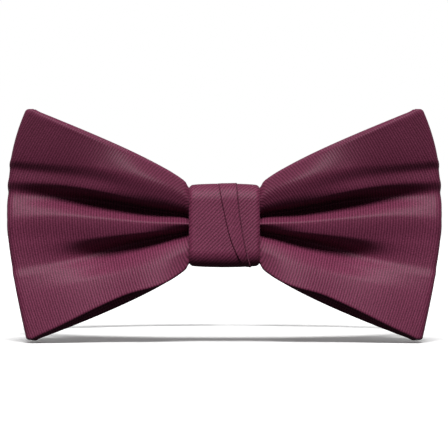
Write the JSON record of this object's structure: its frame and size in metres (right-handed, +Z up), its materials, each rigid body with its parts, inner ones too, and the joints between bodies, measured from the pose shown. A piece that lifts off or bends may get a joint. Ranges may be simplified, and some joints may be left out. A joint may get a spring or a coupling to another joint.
{
  "type": "bow tie",
  "caption": "Pre-tied satin bow tie: two pleated ribbon loops gathered under a wrapped knot, on an adjustable neck band with a slider and a hook and eye.",
  "frame": {"origin": "centre of the neck loop, at half the height of the neck band", "axes": "+Z up the wearer's neck, -Y to the front where the bow sits, +X to the wearer's left"},
  "size_m": [0.1241, 0.1443, 0.0642],
  "materials": {
    "satin": "plum polyester satin with a fine diagonal twill and a soft sheen",
    "interlining": "undyed woven interlining, matt",
    "thread": "plum sewing thread",
    "fittings": "nickel-plated, finely brushed"
  },
  "bodies": {
    "bow": {"upper_bow_satin": "satin", "upper_bow_interlining": "interlining", "upper_bow_end_tacks": "thread", "lower_bow_satin": "satin", "lower_bow_interlining": "interlining", "lower_bow_end_tacks": "thread", "gather_thread": "thread", "knot_liner": "interlining", "knot_wrap": "satin", "knot_pleat": "satin", "knot_closing_stitches": "thread", "neck_band": "satin", "eye_fold_stitches": "thread", "band_return": "satin"},
    "slider": {"slider_frame": "fittings", "slider_fold": "satin", "slider_fold_stitches": "thread"},
    "band_end": {"band_hook_loop": "satin"},
    "hook": {"hook": "fittings"},
    "eye": {"eye": "fittings"}
  },
  "joints": [
    {"name": "slider_travel", "type": "hinge", "parent": "bow", "child": "slider", "pos_m": [0, 0, 0], "axis": [0, 0, 1], "range_deg": [-15, 55], "deforming": ["band_return"]},
    {"name": "band_end_lift", "type": "hinge", "parent": "bow", "child": "band_end", "pos_m": [-0.01991, 0.06114, 0], "axis": [0, 0, 1], "range_deg": [0, 40]},
    {"name": "hook_swing", "type": "hinge", "parent": "band_end", "child": "hook", "pos_m": [-0.0124, 0.06239, 0], "axis": [0, 0, 1], "range_deg": [0, 60]},
    {"name": "eye_swing", "type": "hinge", "parent": "bow", "child": "eye", "pos_m": [0.0106, 0.06139, 0], "axis": [0, 0, 1], "range_deg": [0, 25]}
  ]
}
